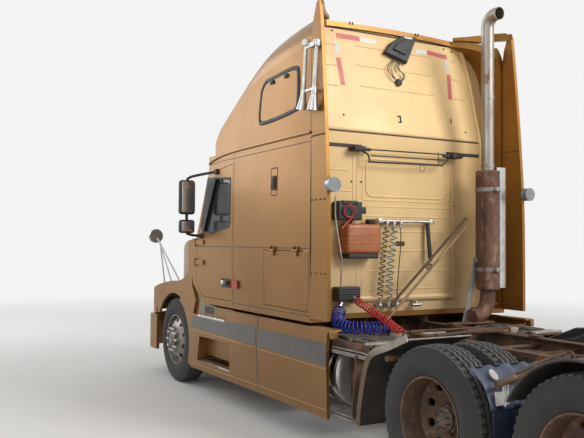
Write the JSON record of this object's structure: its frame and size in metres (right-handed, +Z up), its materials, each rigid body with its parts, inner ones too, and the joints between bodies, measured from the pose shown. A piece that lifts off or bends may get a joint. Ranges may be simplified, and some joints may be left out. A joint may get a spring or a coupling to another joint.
{
  "type": "semi truck tractor unit",
  "caption": "Conventional semi truck tractor with a high-roof sleeper, tilting hood, steering front axle and twin-wheel tandem drive axles.",
  "frame": {"origin": "on the ground under the middle of the truck's bounding box", "axes": "+X forward, +Y to the driver's left, +Z up"},
  "size_m": [8.5798, 2.99, 4.205],
  "materials": {
    "chassis_steel": "rusty",
    "body_paint": "glossy",
    "wall_paint": "satin",
    "polished_aluminium": "polished",
    "glass": "glossy",
    "lamp_glass": "glossy",
    "rusty_steel": "rusty",
    "rubber": "matte",
    "black_plastic": "satin",
    "trim_cloth": "matte",
    "red_hose": "satin",
    "blue_hose": "satin",
    "teal_hose": "satin",
    "black_hose": "satin"
  },
  "bodies": {
    "root": {"air_horns": "polished_aluminium", "cab_shell": "body_paint", "cord_black": "black_hose", "cord_blue": "blue_hose", "cord_plain": "black_hose", "cord_red": "red_hose", "cord_teal": "teal_hose", "dashboard": "black_plastic", "deck_plates": "chassis_steel", "drive_axles": "chassis_steel", "engine": "chassis_steel", "exhaust_stack": "rusty_steel", "frame": "chassis_steel", "front_axle": "chassis_steel", "front_bumper": "polished_aluminium", "fuel_tanks": "polished_aluminium", "hose_rail": "rusty_steel", "line_couplings": "chassis_steel", "mudguards": "black_plastic", "rear_wall": "wall_paint", "roof_cap": "body_paint", "seats": "trim_cloth", "side_extenders": "body_paint", "side_skirts": "body_paint", "sleeper_shell": "body_paint", "wall_fittings": "black_plastic", "windscreen": "glass", "work_lights": "lamp_glass"},
    "hood_body": {"hood": "body_paint", "grille": "polished_aluminium", "headlamps": "lamp_glass", "hood_mirrors": "polished_aluminium"},
    "door_left_body": {"door_left": "body_paint", "door_glass_left": "glass", "door_mirror_left": "polished_aluminium"},
    "door_right_body": {"door_right": "body_paint", "door_glass_right": "glass", "door_mirror_right": "polished_aluminium"},
    "luggage_left_body": {"luggage_door_left": "body_paint"},
    "luggage_right_body": {"luggage_door_right": "body_paint"},
    "knuckle_left_body": {"knuckle_left": "chassis_steel"},
    "knuckle_right_body": {"knuckle_right": "chassis_steel"},
    "tie_rod_body": {"tie_rod": "chassis_steel"},
    "front_wheel_left_body": {"front_tyre_left": "rubber", "front_rim_left": "polished_aluminium"},
    "front_wheel_right_body": {"front_tyre_right": "rubber", "front_rim_right": "polished_aluminium"},
    "drive_wheel_1_left_body": {"drive_tyres_1_left": "rubber", "drive_rims_1_left": "rusty_steel"},
    "drive_wheel_1_right_body": {"drive_tyres_1_right": "rubber", "drive_rims_1_right": "rusty_steel"},
    "drive_wheel_2_left_body": {"drive_tyres_2_left": "rubber", "drive_rims_2_left": "rusty_steel"},
    "drive_wheel_2_right_body": {"drive_tyres_2_right": "rubber", "drive_rims_2_right": "rusty_steel"}
  },
  "joints": [
    {"name": "hood_tilt", "type": "hinge", "parent": "root", "child": "hood_body", "pos_m": [4.195, 0, 0.812], "axis": [0, 1, 0], "range_deg": [0, 75]},
    {"name": "door_left_hinge", "type": "hinge", "parent": "root", "child": "door_left_body", "pos_m": [2.298, 1.217, 1.68], "axis": [0, 0, -1], "range_deg": [0, 70]},
    {"name": "door_right_hinge", "type": "hinge", "parent": "root", "child": "door_right_body", "pos_m": [2.298, -1.217, 1.68], "axis": [0, 0, 1], "range_deg": [0, 70]},
    {"name": "luggage_left_hinge", "type": "hinge", "parent": "root", "child": "luggage_left_body", "pos_m": [0.07, 1.215, 1.728], "axis": [1, 0, 0], "range_deg": [0, 80]},
    {"name": "luggage_right_hinge", "type": "hinge", "parent": "root", "child": "luggage_right_body", "pos_m": [0.07, -1.215, 1.728], "axis": [-1, 0, 0], "range_deg": [0, 80]},
    {"name": "steer_left", "type": "hinge", "parent": "root", "child": "knuckle_left_body", "pos_m": [3.06, 0.86, 0.54], "axis": [0, 0, 1], "range_deg": [-35, 35]},
    {"name": "steer_right", "type": "hinge", "parent": "root", "child": "knuckle_right_body", "pos_m": [3.06, -0.86, 0.54], "axis": [0, 0, 1], "range_deg": [-35, 35]},
    {"name": "tie_rod_end", "type": "hinge", "parent": "knuckle_left_body", "child": "tie_rod_body", "pos_m": [2.8, 0.86, 0.403], "axis": [0, 0, 1], "range_deg": [-35, 35]},
    {"name": "front_wheel_left_spin", "type": "hinge", "parent": "knuckle_left_body", "child": "front_wheel_left_body", "pos_m": [3.06, 1.035, 0.54], "axis": [0, 1, 0], "continuous": true},
    {"name": "front_wheel_right_spin", "type": "hinge", "parent": "knuckle_right_body", "child": "front_wheel_right_body", "pos_m": [3.06, -1.035, 0.54], "axis": [0, 1, 0], "continuous": true},
    {"name": "drive_wheel_1_left_spin", "type": "hinge", "parent": "root", "child": "drive_wheel_1_left_body", "pos_m": [-2.07, 0.91, 0.54], "axis": [0, 1, 0], "continuous": true},
    {"name": "drive_wheel_1_right_spin", "type": "hinge", "parent": "root", "child": "drive_wheel_1_right_body", "pos_m": [-2.07, -0.91, 0.54], "axis": [0, 1, 0], "continuous": true},
    {"name": "drive_wheel_2_left_spin", "type": "hinge", "parent": "root", "child": "drive_wheel_2_left_body", "pos_m": [-3.39, 0.91, 0.54], "axis": [0, 1, 0], "continuous": true},
    {"name": "drive_wheel_2_right_spin", "type": "hinge", "parent": "root", "child": "drive_wheel_2_right_body", "pos_m": [-3.39, -0.91, 0.54], "axis": [0, 1, 0], "continuous": true}
  ],
  "couplings": [
    {"joint": "steer_right", "follows": "steer_left", "ratio": 1},
    {"joint": "tie_rod_end", "follows": "steer_left", "ratio": -1}
  ]
}
